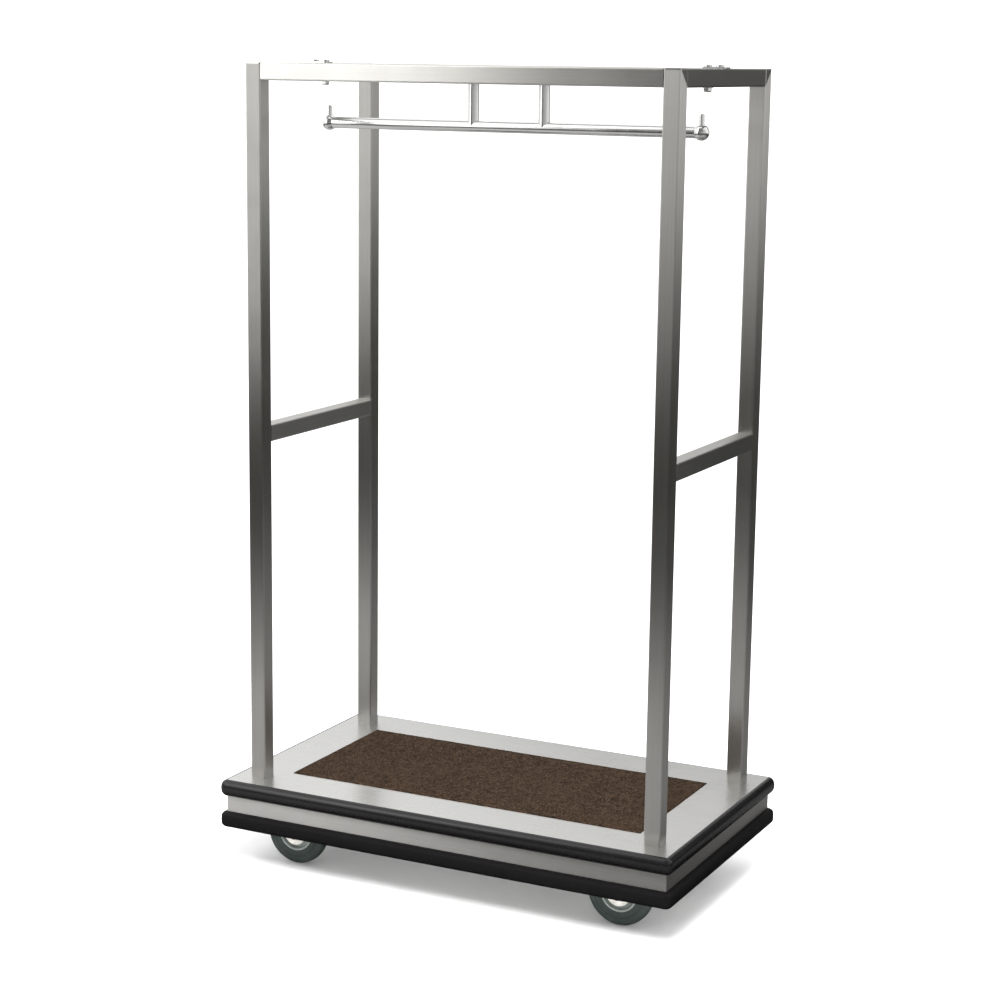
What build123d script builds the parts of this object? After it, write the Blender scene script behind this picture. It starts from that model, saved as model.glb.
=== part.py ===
"""Hotel luggage cart with a square-tube frame, a hanging bar and four swivel casters.

Millimetres. The origin is on the floor, under the middle of the cart.
+X runs right along the cart's length, +Y to its back and +Z up.
"""

import os
from math import hypot

from build123d import *

# ---- Deck ---------------------------------------------------------------------------
deck_length = 1086.0          # over the fascia, along X
deck_width = 616.0            # over the fascia, along Y
board_thickness = 25.5
sheet_thickness = 1.5
fascia_thickness = 2.0
fascia_height = 110.5         # below the sheet
carpet_border_x = 108.5       # bright border between the deck's edge and the carpet
carpet_border_y = 113.5
carpet_thickness = 4.5
carpet_corner = 3.0
carpet_gap = 0.2              # all round, in the sheet's cut-out

# ---- Rubber bumpers -----------------------------------------------------------------
bumper_depth = 15.0
bumper_corner = 17.0
upper_bumper_height = 38.0
upper_bumper_nose = 13.0
lower_bumper_height = 37.0
lower_bumper_nose = 9.0
screw_count_x = 5             # lower bumper's screws along the front and the back
screw_count_y = 3             # and along each end
screw_margin = 60.0
screw_radius = 2.0
screw_head_radius = 4.5
screw_head_height = 2.5
screw_bite = 8.0              # depth in the rubber

# ---- Square-tube frame --------------------------------------------------------------
tube_size = 38.0
tube_wall = 1.6
tube_corner = 4.0
post_inset_x = 35.5           # deck edge to the posts' outer faces
post_inset_y = 46.0
frame_height = 1612.0         # deck to the top of the frame
side_rail_height = 796.5      # deck to the middle of the side rails
cap_thickness = 3.0
cap_spigot = 12.0
plug_height = 60.0
plug_gap = 0.1                # between a plug or spigot and the tube's bore
post_bolt_radius = 6.0
post_bolt_bite = 35.0         # thread in the plug
post_bolt_flats = 19.0
post_bolt_head = 7.5
bolt_gap = 0.2                # radial, round every bolt and screw

# ---- Hanging bar --------------------------------------------------------------------
bar_radius = 12.7
bar_wall = 1.5
bar_drop = 132.0              # top of the frame to the bar's centreline
bar_end_gap = 18.5            # side rail's inner face to the ball's centre
ball_wall = 4.5               # ball's surface outside the bar's
ball_seat = 3.0               # bar's end stops this far short of the ball's centre
socket_gap = 0.05             # radial, between the bar and its socket in the ball
hanger_x = 86.0
cope_gap = 0.1                # between a hanger's saddle and the bar
pin_radius = 6.35
pin_rise = 25.5               # above the bar's top
pin_seat = 0.8                # pin's foot above the bar's top
pin_crown = 3.0

# ---- Joint of the centre rail and the side top rails --------------------------------
strap_width = 32.0
strap_thickness = 3.0
strap_corner = 5.0
strap_end_gap = 1.0           # frame's outer face to the strap's outer end
strap_bolt_edge = 7.5         # end of the centre rail to the through bolt
strap_bolt_margin = 11.5      # through bolt to the strap's inner end
m10_radius = 5.0
m10_head_radius = 8.75
m10_head_height = 5.0
m10_head_round = 3.0
m10_socket_flats = 6.0
m10_socket_depth = 3.0
strap_screw_length = 14.0
washer_radius = 11.0
washer_thickness = 2.0
cap_nut_flats = 17.0
cap_nut_hex_height = 6.0
cap_nut_dome = 3.0

# ---- Casters ------------------------------------------------------------------------
wheel_radius = 75.0
tyre_width = 32.0
tread_round = 11.0
core_radius = 43.0
rim_thickness = 6.0
rim_width = 30.0
web_thickness = 12.0
hub_radius = 27.0
hub_overhang = 2.0            # hub beyond the tyre's sides
axle_radius = 5.0
axle_flats = 17.0
axle_head = 5.0
run_gap = 0.05                # radial running fit of the axles and kingpins
leg_gap = 3.0                 # tyre's side to the fork leg
leg_thickness = 4.0
leg_end_radius = 15.0
leg_top_width = 46.0
trail = 20.0                  # every caster trails to the left at rest
tyre_gap = 8.0                # tyre's top to the crown
crown_radius = 33.0
crown_thickness = 5.0
swivel_gap = 0.3
race_radius = 31.0
race_round = 7.0
race_height = 21.7
plate_length = 114.0
plate_width = 100.0
plate_thickness = 5.0
plate_corner = 8.0
plate_bolts_x = 92.0
plate_bolts_y = 76.0
lag_radius = 4.0
lag_flats = 13.0
lag_head = 5.3
lag_bite = 22.0
kingpin_radius = 8.0
kingpin_head_radius = 13.0
kingpin_head = 6.0
sweep_gap_x = 36.0            # between a turning wheel and the fascia at the ends
sweep_gap_y = 26.0            # and at the front and the back

# ---- Underframe ---------------------------------------------------------------------
runner_size = 25.0
runner_wall = 2.0
runner_corner = 2.5

# ---- Levels and places worked out from the sizes above --------------------------------
axle_z = wheel_radius
crown_under_z = 2 * wheel_radius + tyre_gap
crown_top_z = crown_under_z + crown_thickness
race_under_z = crown_top_z + swivel_gap
plate_under_z = race_under_z + race_height
board_under_z = plate_under_z + plate_thickness
board_top_z = board_under_z + board_thickness
deck_z = board_top_z + sheet_thickness
fascia_under_z = board_top_z - fascia_height
lower_bumper_under_z = fascia_under_z
screw_z = lower_bumper_under_z + lower_bumper_height / 2
frame_top_z = deck_z + frame_height
top_rail_z = frame_top_z - tube_size / 2
top_rail_under_z = frame_top_z - tube_size
strap_top_z = frame_top_z + strap_thickness
bar_z = frame_top_z - bar_drop
carpet_length = deck_length - 2 * carpet_border_x
carpet_width = deck_width - 2 * carpet_border_y
board_length = deck_length - 2 * fascia_thickness
board_width = deck_width - 2 * fascia_thickness
tube_bore = tube_size - 2 * tube_wall
frame_length = deck_length - 2 * post_inset_x
frame_width = deck_width - 2 * post_inset_y
post_x = (frame_length - tube_size) / 2
post_y = (frame_width - tube_size) / 2
long_rail = frame_length - 2 * tube_size
short_rail = frame_width - 2 * tube_size
ball_x = long_rail / 2 - bar_end_gap
ball_radius = bar_radius + ball_wall
pin_foot_z = bar_z + bar_radius + pin_seat
strap_bolt_x = long_rail / 2 - strap_bolt_edge
strap_outer_x = frame_length / 2 - strap_end_gap
strap_inner_x = strap_bolt_x - strap_bolt_margin
strap_length = strap_outer_x - strap_inner_x
strap_x = (strap_outer_x + strap_inner_x) / 2
wheel_sweep = hypot(trail + wheel_radius, tyre_width / 2)
swivel_x = deck_length / 2 - fascia_thickness - sweep_gap_x - wheel_sweep
swivel_y = deck_width / 2 - fascia_thickness - sweep_gap_y - wheel_sweep
fork_inner = tyre_width / 2 + leg_gap
fork_outer = fork_inner + leg_thickness
hub_width = tyre_width + 2 * hub_overhang

ends = {"left": -1, "right": 1}
sides = {"front": -1, "back": 1}
corners = {f"{side}_{end}": (ends[end], sides[side]) for side in sides for end in ends}
post_places = [(i * post_x, j * post_y) for i, j in corners.values()]
swivel_places = [(i * swivel_x, j * swivel_y) for i, j in corners.values()]
lag_places = [
    (x + i * plate_bolts_x / 2, y + j * plate_bolts_y / 2)
    for x, y in swivel_places
    for i, j in corners.values()
]
strap_places = [(i * strap_x, 0) for i in ends.values()]
strap_screw_places = [(i * post_x, 0) for i in ends.values()]
strap_bolt_places = [(i * strap_bolt_x, 0) for i in ends.values()]

os.makedirs("parts", exist_ok=True)


def save(piece, name):
    """Label a finished piece and write its file."""
    piece.label = name
    export_step(piece, f"parts/{name}.step")


# ---- Planes -------------------------------------------------------------------------
def along_x(x, y, z):
    """A plane at a point, facing +X, with its own x along +Y."""
    return Plane(origin=(x, y, z), x_dir=(0, 1, 0), z_dir=(1, 0, 0))


def along_y(x, y, z):
    """A plane at a point, facing -Y, with its own x along +X and its own y up."""
    return Plane(origin=(x, y, z), x_dir=(1, 0, 0), z_dir=(0, -1, 0))


def spread(count, run):
    """Evenly spaced places along a side, a margin in from both of its ends."""
    reach = run / 2 - screw_margin
    return [reach * (2 * i / (count - 1) - 1) for i in range(count)]


# Each side of the deck: its outward direction, its length and the number of screws in it.
deck_sides = {
    "front": ((0, -1), deck_length, deck_width / 2, screw_count_x),
    "back": ((0, 1), deck_length, deck_width / 2, screw_count_x),
    "left": ((-1, 0), deck_width, deck_length / 2, screw_count_y),
    "right": ((1, 0), deck_width, deck_length / 2, screw_count_y),
}


def screw_planes(side):
    """Planes on the fascia's inner face, facing out, one for each screw of this side."""
    (i, j), run, reach, count = deck_sides[side]
    inner = reach - fascia_thickness
    return [
        Plane(origin=(i * inner - j * s, j * inner + i * s, screw_z), z_dir=(i, j, 0))
        for s in spread(count, run)
    ]


all_screw_planes = [plane for side in deck_sides for plane in screw_planes(side)]


# ---- Square-tube frame --------------------------------------------------------------
def square_tube(plane, length):
    """The frame's square tube, from a plane along the way it faces."""
    with BuildPart() as tube:
        with BuildSketch(plane):
            RectangleRounded(tube_size, tube_size, tube_corner)
            RectangleRounded(tube_bore, tube_bore, tube_corner - tube_wall, mode=Mode.SUBTRACT)
        extrude(amount=length)
    return tube.part


for corner, (i, j) in corners.items():
    with BuildPart() as post:
        add(square_tube(Plane(origin=(i * post_x, j * post_y, deck_z)), frame_height - cap_thickness))
    save(post.part, f"post_{corner}")

# Caps close the tops of the posts, level with the top rails.
with BuildPart() as post_caps:
    with BuildSketch(Plane.XY.offset(frame_top_z - cap_thickness)):
        with Locations(*post_places):
            RectangleRounded(tube_size, tube_size, tube_corner)
    extrude(amount=cap_thickness)
    with BuildSketch(Plane.XY.offset(frame_top_z - cap_thickness - cap_spigot)):
        with Locations(*post_places):
            RectangleRounded(
                tube_bore - 2 * plug_gap, tube_bore - 2 * plug_gap, tube_corner - tube_wall - plug_gap
            )
    extrude(amount=cap_spigot)
save(post_caps.part, "post_caps")

# Solid plugs in the feet of the posts take the bolts that come up through the deck.
with BuildPart() as post_plugs:
    with BuildSketch(Plane.XY.offset(deck_z)):
        with Locations(*post_places):
            RectangleRounded(
                tube_bore - 2 * plug_gap, tube_bore - 2 * plug_gap, tube_corner - tube_wall - plug_gap
            )
            Circle(post_bolt_radius + bolt_gap, mode=Mode.SUBTRACT)
    extrude(amount=plug_height)
save(post_plugs.part, "post_plugs")

with BuildPart() as post_bolts:
    with BuildSketch(Plane.XY.offset(board_under_z)):
        with Locations(*post_places):
            RegularPolygon(post_bolt_flats / 2, 6, major_radius=False)
    extrude(amount=-post_bolt_head)
    with BuildSketch(Plane.XY.offset(board_under_z)):
        with Locations(*post_places):
            Circle(post_bolt_radius)
    extrude(amount=board_thickness + sheet_thickness + post_bolt_bite)
save(post_bolts.part, "post_bolts")

for side, j in sides.items():
    with BuildPart() as top_rail:
        add(square_tube(along_x(-long_rail / 2, j * post_y, top_rail_z), long_rail))
    save(top_rail.part, f"top_rail_{side}")

for end, i in ends.items():
    with BuildPart() as top_rail:
        add(square_tube(along_y(i * post_x, short_rail / 2, top_rail_z), short_rail))
        with Locations((i * post_x, 0, frame_top_z)):
            Cylinder(m10_radius + bolt_gap, tube_size, mode=Mode.SUBTRACT)
    save(top_rail.part, f"top_rail_{end}")

    with BuildPart() as side_rail:
        add(square_tube(along_y(i * post_x, short_rail / 2, deck_z + side_rail_height), short_rail))
    save(side_rail.part, f"side_rail_{end}")

with BuildPart() as centre_rail:
    add(square_tube(along_x(-long_rail / 2, 0, top_rail_z), long_rail))
    with Locations(*[(x, y, top_rail_z) for x, y in strap_bolt_places]):
        Cylinder(m10_radius + bolt_gap, tube_size, mode=Mode.SUBTRACT)
save(centre_rail.part, "centre_rail")

# ---- Hanging bar --------------------------------------------------------------------
with BuildPart() as hanging_bar:
    with BuildSketch(along_x(0, 0, bar_z)):
        Circle(bar_radius)
        Circle(bar_radius - bar_wall, mode=Mode.SUBTRACT)
    extrude(amount=ball_x - ball_seat, both=True)
save(hanging_bar.part, "hanging_bar")

# Balls close both ends of the bar. The bar sits in a socket, and a stop pin stands in the top.
with BuildPart() as bar_balls:
    with Locations(*[(i * ball_x, 0, bar_z) for i in ends.values()]):
        Sphere(ball_radius)
    with BuildSketch(along_x(0, 0, bar_z)):
        Circle(bar_radius + socket_gap)
    extrude(amount=ball_x - ball_seat, both=True, mode=Mode.SUBTRACT)
    with BuildSketch(Plane.XY.offset(pin_foot_z)):
        with Locations(*[(i * ball_x, 0) for i in ends.values()]):
            Circle(pin_radius)
    extrude(amount=pin_rise, mode=Mode.SUBTRACT)
save(bar_balls.part, "bar_balls")

with BuildPart() as stop_pins:
    with BuildSketch(Plane.XY.offset(pin_foot_z)):
        with Locations(*[(i * ball_x, 0) for i in ends.values()]):
            Circle(pin_radius)
    extrude(amount=pin_rise - pin_seat)
    fillet(stop_pins.faces().group_by(Axis.Z)[-1].edges(), pin_crown)
save(stop_pins.part, "stop_pins")

# Hangers run down from the centre rail and are coped over the bar.
for end, i in ends.items():
    with BuildPart() as hanger:
        with BuildSketch(Plane.XY.offset(bar_z)):
            with Locations((i * hanger_x, 0)):
                Circle(bar_radius)
                Circle(bar_radius - bar_wall, mode=Mode.SUBTRACT)
        extrude(amount=top_rail_under_z - bar_z)
        with BuildSketch(along_x(i * hanger_x, 0, bar_z)):
            Circle(bar_radius + cope_gap)
        extrude(amount=bar_radius, both=True, mode=Mode.SUBTRACT)
    save(hanger.part, f"hanger_{end}")

# ---- Straps that tie the centre rail to the side top rails --------------------------
with BuildPart() as strap_plates:
    with BuildSketch(Plane.XY.offset(frame_top_z)):
        with Locations(*strap_places):
            RectangleRounded(strap_length, strap_width, strap_corner)
        with Locations(*strap_screw_places, *strap_bolt_places):
            Circle(m10_radius + bolt_gap, mode=Mode.SUBTRACT)
    extrude(amount=strap_thickness)
save(strap_plates.part, "strap_plates")


def button_screws(places, length):
    """Button-head socket screws that stand on the straps and reach down."""
    with BuildPart() as screws:
        with BuildSketch(Plane.XY.offset(strap_top_z)):
            with Locations(*places):
                Circle(m10_head_radius)
        extrude(amount=m10_head_height)
        fillet(screws.faces().group_by(Axis.Z)[-1].edges(), m10_head_round)
        with BuildSketch(Plane.XY.offset(strap_top_z + m10_head_height)):
            with Locations(*places):
                RegularPolygon(m10_socket_flats / 2, 6, major_radius=False)
        extrude(amount=-m10_socket_depth, mode=Mode.SUBTRACT)
        with BuildSketch(Plane.XY.offset(strap_top_z)):
            with Locations(*places):
                Circle(m10_radius)
        extrude(amount=-length)
    return screws.part


with BuildPart() as strap_screws:
    add(button_screws(strap_screw_places, strap_screw_length))
save(strap_screws.part, "strap_screws")

with BuildPart() as strap_bolts:
    add(
        button_screws(
            strap_bolt_places, strap_thickness + tube_size + washer_thickness + cap_nut_hex_height
        )
    )
save(strap_bolts.part, "strap_bolts")

with BuildPart() as strap_washers:
    with BuildSketch(Plane.XY.offset(top_rail_under_z)):
        with Locations(*strap_bolt_places):
            Circle(washer_radius)
            Circle(m10_radius + bolt_gap, mode=Mode.SUBTRACT)
    extrude(amount=-washer_thickness)
save(strap_washers.part, "strap_washers")

nut_top_z = top_rail_under_z - washer_thickness
with BuildPart() as cap_nuts:
    with BuildSketch(Plane.XY.offset(nut_top_z)):
        with Locations(*strap_bolt_places):
            RegularPolygon(cap_nut_flats / 2, 6, major_radius=False)
    extrude(amount=-cap_nut_hex_height)
    with BuildSketch(Plane.XY.offset(nut_top_z - cap_nut_hex_height)):
        with Locations(*strap_bolt_places):
            Circle(cap_nut_flats / 2)
    extrude(amount=-cap_nut_dome)
    fillet(cap_nuts.faces().group_by(Axis.Z)[0].edges(), cap_nut_dome - bolt_gap)
    with BuildSketch(Plane.XY.offset(nut_top_z)):
        with Locations(*strap_bolt_places):
            Circle(m10_radius + bolt_gap)
    extrude(amount=-cap_nut_hex_height, mode=Mode.SUBTRACT)
save(cap_nuts.part, "cap_nuts")

# ---- Deck ---------------------------------------------------------------------------
with BuildPart() as deck_board:
    with BuildSketch(Plane.XY.offset(board_under_z)):
        Rectangle(board_length, board_width)
        with Locations(*post_places):
            Circle(post_bolt_radius + bolt_gap, mode=Mode.SUBTRACT)
    extrude(amount=board_thickness)
    with BuildSketch(Plane.XY.offset(board_under_z)):
        with Locations(*lag_places):
            Circle(lag_radius + bolt_gap)
    extrude(amount=lag_bite, mode=Mode.SUBTRACT)
save(deck_board.part, "deck_board")

with BuildPart() as deck_sheet:
    with BuildSketch(Plane.XY.offset(board_top_z)):
        Rectangle(deck_length, deck_width)
        RectangleRounded(
            carpet_length + 2 * carpet_gap,
            carpet_width + 2 * carpet_gap,
            carpet_corner + carpet_gap,
            mode=Mode.SUBTRACT,
        )
        with Locations(*post_places):
            Circle(post_bolt_radius + bolt_gap, mode=Mode.SUBTRACT)
    extrude(amount=sheet_thickness)
save(deck_sheet.part, "deck_sheet")

with BuildPart() as carpet:
    with BuildSketch(Plane.XY.offset(board_top_z)):
        RectangleRounded(carpet_length, carpet_width, carpet_corner)
    extrude(amount=carpet_thickness)
save(carpet.part, "carpet")

# Four fascia panels, mitred at the corners, hang from the edges of the deck.
for side, ((i, j), run, reach, count) in deck_sides.items():
    with BuildPart() as fascia:
        outer = Plane(origin=(i * reach, j * reach, board_top_z), x_dir=(-j, i, 0), z_dir=(0, 0, 1))
        with BuildSketch(outer):
            with BuildLine():
                Polyline(
                    (-run / 2, 0),
                    (run / 2, 0),
                    (run / 2 - fascia_thickness, fascia_thickness),
                    (fascia_thickness - run / 2, fascia_thickness),
                    close=True,
                )
            make_face()
        extrude(amount=-fascia_height)
        with BuildSketch(*screw_planes(side)):
            Circle(screw_radius + bolt_gap)
        extrude(amount=fascia_thickness, mode=Mode.SUBTRACT)
    save(fascia.part, f"fascia_{side}")


def bumper_ring(under_z, height, nose):
    """A rubber ring round the fascia, with a rounded nose above and below."""
    with BuildPart() as ring:
        with BuildSketch(Plane.XY.offset(under_z)):
            RectangleRounded(
                deck_length + 2 * bumper_depth, deck_width + 2 * bumper_depth, bumper_corner
            )
        extrude(amount=height)
        fillet(ring.faces().filter_by(Axis.Z).edges(), nose)
        with BuildSketch(Plane.XY.offset(under_z)):
            Rectangle(deck_length, deck_width)
        extrude(amount=height, mode=Mode.SUBTRACT)
    return ring.part


with BuildPart() as upper_bumper:
    add(
        bumper_ring(
            deck_z - upper_bumper_height, upper_bumper_height, upper_bumper_nose
        )
    )
save(upper_bumper.part, "upper_bumper")

with BuildPart() as lower_bumper:
    add(bumper_ring(lower_bumper_under_z, lower_bumper_height, lower_bumper_nose))
    with BuildSketch(*all_screw_planes):
        Circle(screw_radius + bolt_gap)
    extrude(amount=fascia_thickness + screw_bite, mode=Mode.SUBTRACT)
save(lower_bumper.part, "lower_bumper")

# Pan-head screws go out through the fascia into the lower bumper.
with BuildPart() as bumper_screws:
    with BuildSketch(*all_screw_planes):
        Circle(screw_head_radius)
    extrude(amount=-screw_head_height)
    with BuildSketch(*all_screw_planes):
        Circle(screw_radius)
    extrude(amount=fascia_thickness + screw_bite)
save(bumper_screws.part, "bumper_screws")


# ---- Underframe ---------------------------------------------------------------------
def runner(plane, length):
    """A square runner under the board's edge, from a plane along the way it faces."""
    with BuildPart() as tube:
        with BuildSketch(plane):
            RectangleRounded(runner_size, runner_size, runner_corner)
            RectangleRounded(
                runner_size - 2 * runner_wall,
                runner_size - 2 * runner_wall,
                runner_corner - runner_wall,
                mode=Mode.SUBTRACT,
            )
        extrude(amount=length)
    return tube.part


runner_z = board_under_z - runner_size / 2
short_runner = board_width - 2 * runner_size
for side, j in sides.items():
    with BuildPart() as long_runner:
        add(
            runner(
                along_x(-board_length / 2, j * (board_width - runner_size) / 2, runner_z), board_length
            )
        )
    save(long_runner.part, f"underframe_{side}")

for end, i in ends.items():
    with BuildPart() as end_runner:
        add(
            runner(
                along_y(i * (board_length - runner_size) / 2, short_runner / 2, runner_z), short_runner
            )
        )
    save(end_runner.part, f"underframe_{end}")

# ---- Casters ------------------------------------------------------------------------
with BuildPart() as caster_bolts:
    with BuildSketch(Plane.XY.offset(plate_under_z)):
        with Locations(*lag_places):
            RegularPolygon(lag_flats / 2, 6, major_radius=False)
    extrude(amount=-lag_head)
    with BuildSketch(Plane.XY.offset(plate_under_z)):
        with Locations(*lag_places):
            Circle(lag_radius)
    extrude(amount=plate_thickness + lag_bite)
save(caster_bolts.part, "caster_bolts")

# Each kingpin hangs from its plate and carries the fork on a head below the crown.
with BuildPart() as kingpins:
    with BuildSketch(Plane.XY.offset(board_under_z)):
        with Locations(*swivel_places):
            Circle(kingpin_radius)
    extrude(amount=crown_under_z - swivel_gap - board_under_z)
    with BuildSketch(Plane.XY.offset(crown_under_z - swivel_gap)):
        with Locations(*swivel_places):
            Circle(kingpin_head_radius)
    extrude(amount=-kingpin_head)
save(kingpins.part, "kingpins")

for corner, (i, j) in corners.items():
    x, y = i * swivel_x, j * swivel_y
    wheel_x = x - trail

    # Top plate with the swivel race under it.
    with BuildPart() as caster_plate:
        with BuildSketch(Plane.XY.offset(race_under_z)):
            with Locations((x, y)):
                Circle(race_radius)
        extrude(amount=race_height)
        fillet(caster_plate.faces().sort_by(Axis.Z)[0].edges(), race_round)
        with BuildSketch(Plane.XY.offset(plate_under_z)):
            with Locations((x, y)):
                RectangleRounded(plate_length, plate_width, plate_corner)
                with GridLocations(plate_bolts_x, plate_bolts_y, 2, 2):
                    Circle(lag_radius + bolt_gap, mode=Mode.SUBTRACT)
        extrude(amount=plate_thickness)
        with BuildSketch(Plane.XY.offset(race_under_z)):
            with Locations((x, y)):
                Circle(kingpin_radius + run_gap)
        extrude(amount=race_height + plate_thickness, mode=Mode.SUBTRACT)
    save(caster_plate.part, f"caster_plate_{corner}")

    # Fork: a round crown with two legs that lean back to the axle.
    with BuildPart() as fork:
        with BuildSketch(Plane.XY.offset(crown_under_z)):
            with Locations((x, y)):
                Circle(crown_radius)
        extrude(amount=crown_thickness)
        for leg_y in (y - fork_inner, y + fork_outer):
            with BuildSketch(along_y(x, leg_y, 0)):
                with Locations((-trail, axle_z)):
                    Circle(leg_end_radius)
                with Locations((0, crown_under_z + crown_thickness / 2)):
                    Rectangle(leg_top_width, crown_thickness)
                make_hull()
            extrude(amount=leg_thickness)
        with BuildSketch(Plane.XY.offset(crown_under_z)):
            with Locations((x, y)):
                Circle(kingpin_radius + run_gap)
        extrude(amount=crown_thickness, mode=Mode.SUBTRACT)
        with BuildSketch(along_y(wheel_x, y, axle_z)):
            Circle(axle_radius + run_gap)
        extrude(amount=fork_outer, both=True, mode=Mode.SUBTRACT)
    save(fork.part, f"fork_{corner}")

    # Axle bolt with its nut.
    with BuildPart() as axle:
        with BuildSketch(along_y(wheel_x, y, axle_z)):
            Circle(axle_radius)
        extrude(amount=fork_outer, both=True)
        for head_y in (y - fork_outer, y + fork_outer + axle_head):
            with BuildSketch(along_y(wheel_x, head_y, axle_z)):
                RegularPolygon(axle_flats / 2, 6, major_radius=False)
            extrude(amount=axle_head)
    save(axle.part, f"axle_{corner}")

    # Wheel core: hub, web and rim.
    with BuildPart() as core:
        with BuildSketch(along_y(wheel_x, y, axle_z)):
            Circle(hub_radius)
        extrude(amount=hub_width / 2, both=True)
        with BuildSketch(along_y(wheel_x, y, axle_z)):
            Circle(core_radius - rim_thickness)
        extrude(amount=web_thickness / 2, both=True)
        with BuildSketch(along_y(wheel_x, y, axle_z)):
            Circle(core_radius)
            Circle(core_radius - rim_thickness, mode=Mode.SUBTRACT)
        extrude(amount=rim_width / 2, both=True)
        with BuildSketch(along_y(wheel_x, y, axle_z)):
            Circle(axle_radius + run_gap)
        extrude(amount=hub_width / 2, both=True, mode=Mode.SUBTRACT)
    save(core.part, f"wheel_core_{corner}")

    # Rubber tyre with a rounded tread.
    with BuildPart() as tyre:
        with BuildSketch(along_y(wheel_x, y, axle_z)):
            Circle(wheel_radius)
        extrude(amount=tyre_width / 2, both=True)
        fillet(tyre.faces().filter_by(Axis.Y).edges(), tread_round)
        with BuildSketch(along_y(wheel_x, y, axle_z)):
            Circle(core_radius)
        extrude(amount=tyre_width / 2, both=True, mode=Mode.SUBTRACT)
    save(tyre.part, f"tyre_{corner}")
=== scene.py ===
"""Looks of the hotel luggage cart. Laid out as a Blender add-on, and run as a script."""

import math

import bmesh
import bpy
from bpy.props import FloatProperty, FloatVectorProperty, IntProperty, PointerProperty
from mathutils import Matrix, Vector, noise


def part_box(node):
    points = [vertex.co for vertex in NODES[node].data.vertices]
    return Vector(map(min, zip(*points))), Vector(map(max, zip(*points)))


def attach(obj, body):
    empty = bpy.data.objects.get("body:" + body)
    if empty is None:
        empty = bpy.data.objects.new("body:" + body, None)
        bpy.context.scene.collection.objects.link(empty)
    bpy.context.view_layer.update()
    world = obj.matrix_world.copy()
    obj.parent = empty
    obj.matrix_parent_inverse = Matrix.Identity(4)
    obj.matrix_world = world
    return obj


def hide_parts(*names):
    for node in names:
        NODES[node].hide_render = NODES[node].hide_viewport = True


bl_info = {
    "name": "Hotel Luggage Cart",
    "version": (1, 0, 0),
    "blender": (4, 5, 0),
    "location": "View3D > Sidebar > Luggage Cart",
    "description": "Finishes the CAD model of a hotel luggage cart and sets up its studio",
    "category": "Object",
}

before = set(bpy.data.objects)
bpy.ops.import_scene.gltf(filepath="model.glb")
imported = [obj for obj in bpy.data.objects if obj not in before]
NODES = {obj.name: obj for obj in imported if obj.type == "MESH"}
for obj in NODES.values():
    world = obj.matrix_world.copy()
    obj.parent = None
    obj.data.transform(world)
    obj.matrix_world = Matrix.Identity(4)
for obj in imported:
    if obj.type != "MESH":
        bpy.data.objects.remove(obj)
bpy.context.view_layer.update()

CORNERS = ("front_left", "front_right", "back_left", "back_right")
UP = Vector((0, 0, 1))
WELD = 1e-6  # vertices closer than this are one
ROUND_STEPS = 96  # steps round a wheel or the room
SEAM_HALF_WIDTH = 0.0005
AXLE_HOLE_RADIUS = 0.0065
NUDGE = (0.002, 0.0013, 0.0007)  # keeps a tangent from vanishing on faces square to the grain


# ---- Settings -----------------------------------------------------------------------
class CartMetalSettings(bpy.types.PropertyGroup):
    """Stainless steel of the frame, the deck and the bar."""

    tube_colour: FloatVectorProperty(
        name="Tube colour", description="Steel of the posts and rails",
        subtype="COLOR", size=3, min=0, max=1, default=(0.60, 0.59, 0.56),
    )
    deck_colour: FloatVectorProperty(
        name="Deck colour", description="Satin steel of the deck sheet",
        subtype="COLOR", size=3, min=0, max=1, default=(0.74, 0.735, 0.715),
    )
    fascia_colour: FloatVectorProperty(
        name="Fascia colour", description="Brushed steel of the band between the bumpers",
        subtype="COLOR", size=3, min=0, max=1, default=(0.76, 0.745, 0.715),
    )
    bar_colour: FloatVectorProperty(
        name="Bar colour", description="Polished steel of the hanging bar",
        subtype="COLOR", size=3, min=0, max=1, default=(0.80, 0.80, 0.79),
    )
    grain_pitch: FloatProperty(
        name="Grain pitch", description="Distance between brush lines",
        unit="LENGTH", min=0.0001, max=0.01, default=0.0007,
    )
    grain_run: FloatProperty(
        name="Grain length", description="Length of a brush line",
        unit="LENGTH", min=0.005, max=1, default=0.12,
    )
    brushing: FloatProperty(
        name="Brushing", description="How much wider a highlight is across the grain than along it",
        min=0, max=1, default=0.95,
    )


class CartCarpetSettings(bpy.types.PropertyGroup):
    """Carpet panel of the deck."""

    colour: FloatVectorProperty(
        name="Colour", description="Main colour of the pile",
        subtype="COLOR", size=3, min=0, max=1, default=(0.0365, 0.0225, 0.0142),
    )
    fleck_colour: FloatVectorProperty(
        name="Fleck colour", description="Light fibres of the pile",
        subtype="COLOR", size=3, min=0, max=1, default=(0.073, 0.045, 0.0275),
    )
    loop_pitch: FloatProperty(
        name="Loop pitch", description="Distance between loops of the pile",
        unit="LENGTH", min=0.002, max=0.02, default=0.0042,
    )
    loop_height: FloatProperty(
        name="Loop height", description="How far the loops stand out of the pile",
        unit="LENGTH", min=0, max=0.003, default=0.0011,
    )


class CartRubberSettings(bpy.types.PropertyGroup):
    """Rubber of the bumpers and tyres."""

    bumper_colour: FloatVectorProperty(
        name="Bumper colour", description="Rubber of both bumper rings",
        subtype="COLOR", size=3, min=0, max=1, default=(0.0032, 0.0029, 0.0032),
    )
    tyre_colour: FloatVectorProperty(
        name="Tyre colour", description="Rubber of the tyres",
        subtype="COLOR", size=3, min=0, max=1, default=(0.034, 0.045, 0.041),
    )
    inner_corner: FloatProperty(
        name="Inner corner", description="Radius of the bumper's back at the deck's corners",
        unit="LENGTH", min=0.0005, max=0.02, default=0.002,
    )
    corner_steps: IntProperty(
        name="Corner steps", description="Steps round each corner of a bumper",
        min=4, max=48, default=16,
    )


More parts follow.
